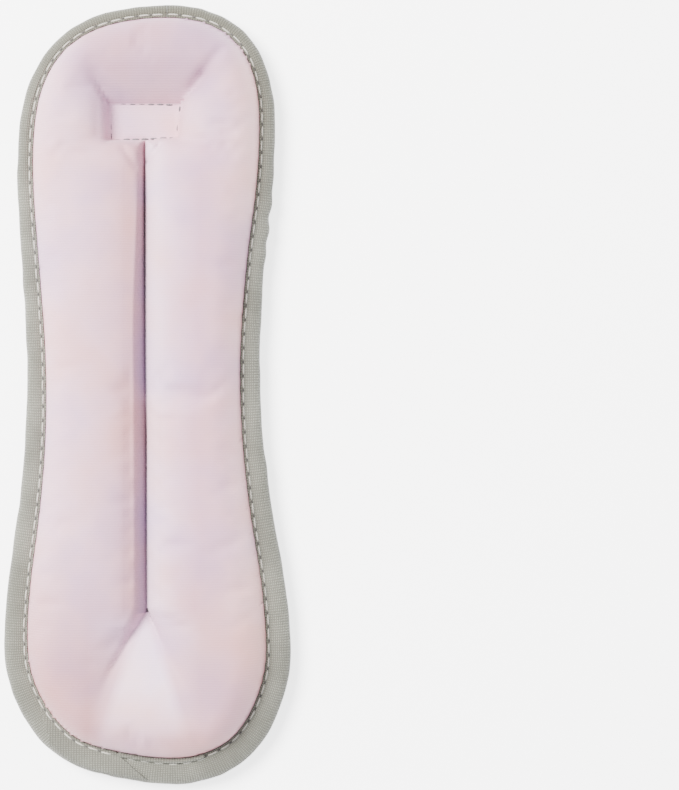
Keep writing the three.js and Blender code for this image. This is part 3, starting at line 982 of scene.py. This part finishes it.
def make_lip(outer, normals, along):
    """A fold of the tape that stands up along its inner edge beside the join."""
    width = tape_width(outer[:, 1])
    line = outer + normals * (width - LIP_RADIUS)[:, None]
    line = line[(outer[:, 1] < -100) & (line[:, 0] > LIP_SPAN[0]) & (line[:, 0] < LIP_SPAN[1])]
    line = line[np.argsort(line[:, 0])]
    unevenness = 0.15 * value_noise(line[:, 0], line[:, 1], 5, 12)
    path = np.column_stack([line, TAPE_TOP + LIP_RISE + unevenness])
    points, faces = tube_parts(path, LIP_RADIUS, 10)
    return new_object("binding_lip", points, faces, points[:, :2] + (along[-1] / 2, 0))


def make_binding():
    """The tape folded round the pad's edge, with its join, its raised lip and its stitching."""
    outer, normals, along = tape_path()
    wobble = 0.22 * value_noise(outer[:, 0] * 1.7, outer[:, 1], 6.5, 31)
    worn = np.exp(-(((outer[:, 1] - 60) / 11) ** 2)) * (outer[:, 0] > 0)
    wobble += 0.45 * worn * np.sin(outer[:, 1] * 0.62)
    rings, uvs = [], []
    for point, normal, s, shift in zip(outer, normals, along, wobble):
        section = np.array(tape_section(tape_width(point[1])))
        fade = 1 - section[:, 0] / section[:, 0].max()
        scallop = SCALLOP * math.cos(2 * math.pi * s / STITCH_PITCH)
        inset = section[:, 0] + shift * fade + scallop * (1 - fade) ** 4
        plan = point + normal * inset[:, None]
        rings.append(np.column_stack([plan, section[:, 1]]))
        lengths = np.linalg.norm(np.diff(section, axis=0, prepend=section[:1]), axis=1)
        uvs.append(np.column_stack([np.full(len(section), s), np.cumsum(lengths)]))
    rings, uvs = np.array(rings), np.array(uvs)
    tip = (along[-1] * REST_PER_MM, (0.110, 0.107, 0.080))
    material = tape_material("binding_rib", SAGE_LIGHT, SAGE_DARK, 0.95, tip=tip)
    cut_at_joints(swept("binding", rings, uvs), "binding_tape_fold", material, "binding_tape")

    for extra in (make_join(outer, normals, along), make_lip(outer, normals, along)):
        finish_piece(extra, material, [])
    make_binding_stitches(outer, normals)


def make_binding_stitches(outer, normals):
    """The row of stitches along the tape's inner edge, above and below, with its needle holes."""
    depth = tape_width(outer[:, 1]) - STITCH_INSET
    line = outer + normals * depth[:, None]
    pale = thread_material("binding_thread", (0.44, 0.43, 0.37), (0.30, 0.29, 0.25))
    over_join = (line[:, 1] < -100) & (line[:, 0] < JOIN[0][0])
    lift = join_lift(line[:, 0]) * over_join
    beside_lip = (line[:, 1] < -100) & (line[:, 0] > LIP_SPAN[0]) & (line[:, 0] < LIP_SPAN[1])
    line = line - normals * (0.7 * beside_lip)[:, None]
    under_z = TAPE_BOTTOM + STITCH_SINK
    upper = np.column_stack([line, TAPE_TOP - STITCH_SINK + lift])
    lower = np.column_stack([line, np.full(len(line), under_z)])
    upper, lower = np.vstack([upper, upper[:1]]), np.vstack([lower, lower[:1]])
    loop = np.linalg.norm(np.diff(upper[:, :2], axis=0), axis=1).sum()
    pitch = loop / round(loop / STITCH_PITCH)
    stitches = stitches_along(upper, pitch, STITCH_SHARE, 0.3, start=0.0, wander=0.08)
    arched_up = stitches_along(lower, pitch, STITCH_SHARE, 0.2, start=0.0)
    under = [s * (1, 1, -1) + (0, 0, 2 * under_z) for s in arched_up]
    share_stitches(stitches + under, STITCH_RADIUS, "binding_stitches", pale)
    # The needle holes are near-black marks of painted shade laid on the tape, not cut into it.
    hole = thread_material("needle_hole", (0.055, 0.053, 0.048), (0.030, 0.029, 0.026))
    holes = stitches_along(upper - (0, 0, 0.05), pitch, 0.2, 0.06, start=0.76 * pitch)
    share_stitches(holes, HOLE_RADIUS, "binding_needle_hole_shade", hole)


def make_stitching():
    """The dark seam down the middle, and the stitched box, which shows under the strap too."""
    dark = thread_material("seam_thread", (0.13, 0.115, 0.125), (0.06, 0.052, 0.060))
    seam = resample([SEAM_TOP, SEAM_END], 200)
    seam_z = np.full(len(seam), SKIN_LOW + 0.1)
    seam_path = np.column_stack([seam, seam_z])
    seam_stitches = stitches_along(seam_path, SEAM_STITCH_PITCH, 0.78, 0.22, wander=0.03)
    seam_stitches += [KNOT + (dx, dy, SKIN_LOW) for dx, dy in KNOT_SHIFTS]
    share_stitches(
        seam_stitches, SEAM_STITCH_RADIUS, "centre_seam_stitches", dark, "centre_stitch",
    )

    outline = []
    sewn = [(x - math.copysign(BOX_STITCH_INSET, x), y) for x, y in BOX]
    for a, b in zip(sewn, sewn[1:] + sewn[:1]):
        side = resample([a, b], 40)
        side_path = np.column_stack([side, np.full(len(side), SKIN_LOW + 0.25)])
        outline += stitches_along(side_path, BOX_STITCH_PITCH, 0.74, 0.25, start=0.3, wander=0.05)
    box = thread_object("box_stitches", outline, SEAM_STITCH_RADIUS)
    box.data.materials.append(dark)
    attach(box, "pad_row_1")
    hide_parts("box_stitch")

    underside = node_box("strap_root")[0][2] + 0.1
    under = [s * (1, 1, 0) + (0, 0, underside) for s in outline]
    strap_box = thread_object("strap_box_stitches", under, 0.24)
    strap_box.data.materials.append(dark)
    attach(strap_box, "pad_row_1")


# -------- strap and closure


def ribbon(name, path, width, thickness, columns=12):
    """A flat strap along a path of (y, z) centre points, with softly rounded edges."""
    path = np.asarray(path, float)
    along = unit(np.gradient(path, axis=0))
    up = np.stack([-along[:, 1], along[:, 0]], axis=1)
    across = np.linspace(-1, 1, columns + 1)
    half = thickness / 2 * (1 - 0.55 * np.abs(across) ** 10)
    section = np.vstack([np.column_stack([across, half]), np.column_stack([across[::-1], -half[::-1]])])
    rings = np.zeros((len(path), len(section), 3))
    rings[:, :, 0] = section[None, :, 0] * width / 2
    rings[:, :, 1:] = path[:, None, :] + section[None, :, 1, None] * up[:, None, :]
    run = np.broadcast_to(lengths_along(path)[:, None], rings.shape[:2])
    uvs = np.stack([run, rings[:, :, 0]], axis=-1)
    return swept(name, rings, uvs, closed_path=False)


def make_strap():
    """The strap: sewn down under the box, folded once round its hinge line, then free."""
    webbing = tape_material("strap_webbing", (0.20, 0.20, 0.17), (0.15, 0.15, 0.13), 1.1)
    low, high = node_box("strap_root")
    width, thickness = high[0] - low[0], high[2] - low[2]
    root_z = (low[2] + high[2]) / 2
    folded_z = 2 * FOLD_Z - root_z
    bend = np.linspace(math.pi / 2, -math.pi / 2, 13)
    radius = root_z - FOLD_Z
    turn = [(FOLD_Y + radius * math.cos(a), FOLD_Z + radius * math.sin(a)) for a in bend]
    sewn = [(y, root_z) for y in np.linspace(low[1], FOLD_Y - 0.5, 12)]
    flat = [(y, folded_z) for y in np.linspace(FOLD_Y - 0.5, FOLD_Y - FOLD_FLAT, 6)]
    root = ribbon("strap_sewn_end", sewn + turn + flat, width, thickness)
    root.data.materials.append(webbing)
    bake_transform(root)
    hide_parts("strap_root")

    ends = FOLD_Y - np.cumsum(STRAP_LINKS)
    free_y = np.append(np.arange(FOLD_Y - FOLD_FLAT, ends[-1], -0.8), ends[-1])
    strap = ribbon("strap_whole", [(y, folded_z) for y in free_y], width, thickness)
    middle = STRAP_LINKS[1] / 2
    for i, hinge in enumerate(ends[:3]):
        start, end = hinge + middle, hinge - middle
        upper = BEYOND if i == 0 else start
        lower = -BEYOND if i == 2 else end
        piece = keep_between(strap, f"strap_webbing_{i + 1}", upper, lower)
        replaced = [f"strap_link_{i + 1}"] + (["strap_link_4"] if i == 2 else [])
        finish_piece(piece, webbing, replaced)
    bpy.data.objects.remove(strap)


def make_hook_tape():
    """The hooked face on the strap's last link, sewn on along its four sides."""
    low, high = node_box("hook_tape")
    level = (low[2] + PRESSED_GAP + high[2]) / 2
    hook = ribbon("hook_tape_face", [(y, level) for y in np.linspace(high[1], low[1], 40)],
                  high[0] - low[0], high[2] - low[2] - PRESSED_GAP)
    hook.data.materials.append(fuzzy_material("hook_face", (0.20, 0.20, 0.175), (0.10, 0.10, 0.09), 130, 1.0))
    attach(hook, "strap_4")
    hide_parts("hook_tape")

    rows = np.linspace(high[1] - STRAP_STITCH_INSET, low[1] + STRAP_STITCH_INSET, 30)
    half_width = (high[0] - low[0]) / 2 - STRAP_STITCH_INSET
    columns = np.linspace(-half_width, half_width, len(rows))
    level = np.full(len(rows), low[2] + PRESSED_GAP + 0.26)
    sides = [np.column_stack([np.full(len(rows), x), rows, level]) for x in (-half_width, half_width)]
    ends = [np.column_stack([columns, np.full(len(rows), y), level]) for y in (rows[0], rows[-1])]
    seams = []
    for line in sides + ends:
        seams += stitches_along(line, STRAP_STITCH_PITCH, 0.7, 0.05)
    sewing = thread_object("hook_tape_stitches", seams, 0.22)
    sewing.data.materials.append(thread_material("strap_thread", (0.40, 0.39, 0.34), (0.28, 0.27, 0.24)))
    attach(sewing, "strap_4")


def make_loop_patch():
    """The brushed patch under the far end, which the hook tape closes on."""
    first_low, first_high = node_box("loop_patch_1")
    last_low, last_high = node_box("loop_patch_2")
    centre = (first_low[2] + PRESSED_GAP + first_high[2]) / 2
    path = [(y, centre) for y in np.arange(first_high[1], last_low[1], -1.0)]
    thickness = first_high[2] - first_low[2] - PRESSED_GAP
    patch = ribbon("loop_whole", path, first_high[0] - first_low[0], thickness, 20)
    pile = fuzzy_material("loop_pile", (0.24, 0.24, 0.21), (0.15, 0.15, 0.13), 170, 0.8)
    for zone, replaced in ((4, ["loop_patch_1"]), (5, ["loop_patch_2"])):
        upper, lower, start, end = zone_limits(zone)
        piece = keep_between(patch, f"loop_patch_pile_{zone - 3}", upper, lower)
        finish_piece(piece, pile, replaced)
    bpy.data.objects.remove(patch)


# -------- stage, light and camera


def make_stage():
    """A plain pale floor that glows a little, so that it stays nearly white."""
    floor_mesh = bpy.data.meshes.new("floor")
    half = 3.0
    corners = [(-half, -half, 0), (half, -half, 0), (half, half, 0), (-half, half, 0)]
    floor_mesh.from_pydata(corners, [], [(0, 1, 2, 3)])
    floor = add_object("floor", floor_mesh)
    material = bpy.data.materials.new("floor_white")
    material.use_nodes = True
    surface = material.node_tree.nodes["Principled BSDF"]
    surface.inputs["Base Color"].default_value = (0.93, 0.93, 0.93, 1)
    surface.inputs["Roughness"].default_value = 0.9
    surface.inputs["Emission Color"].default_value = (1, 1, 1, 1)
    surface.inputs["Emission Strength"].default_value = 2.5
    floor.data.materials.append(material)


def add_area_light(name, place, size, power, color):
    """A round soft light aimed at the cuff."""
    data = bpy.data.lights.new(name, "AREA")
    data.shape = "DISK"
    data.size = size
    data.energy = power
    data.color = color
    light = add_object(name, data)
    light.location = place
    light.rotation_euler = (-Vector(place)).to_track_quat("-Z", "Y").to_euler()


def make_lights():
    """Soft even studio light with one warm key light from the upper left."""
    world = bpy.data.worlds.new("studio")
    bpy.context.scene.world = world
    world.use_nodes = True
    background = world.node_tree.nodes["Background"]
    background.inputs["Color"].default_value = (0.93, 0.95, 1.0, 1)
    background.inputs["Strength"].default_value = 1.55
    add_area_light("key", (-0.75, 0.55, 1.35), 0.9, 125, (1.0, 0.98, 0.955))


def make_camera():
    """Looks straight down with +Y up; the cuff lies left of centre, with room for the other of its pair."""
    frame_height = 281.1
    centre = Vector((68.9, -0.4, 12.0))
    data = bpy.data.cameras.new("camera")
    data.sensor_fit = "VERTICAL"
    data.sensor_height = 24
    data.lens = 75
    camera = add_object("camera", data)
    distance_up = frame_height * data.lens / data.sensor_height
    camera.location = (centre + Vector((0, 0, distance_up))) * MM
    bpy.context.scene.camera = camera


# -------- build


make_stage()
make_lights()
make_camera()
SKIN_Z = skin_surface()
SKIN_Z = SKIN_Z + cloth_move(SKIN_Z)
OUTER_Z = np.minimum(outer_surface(), SKIN_Z - SKIN_THICKNESS - OUTER_THICKNESS + 1.0)
make_panels(SKIN_Z, OUTER_Z)
make_binding()
make_stitching()
make_strap()
make_hook_tape()
make_loop_patch()
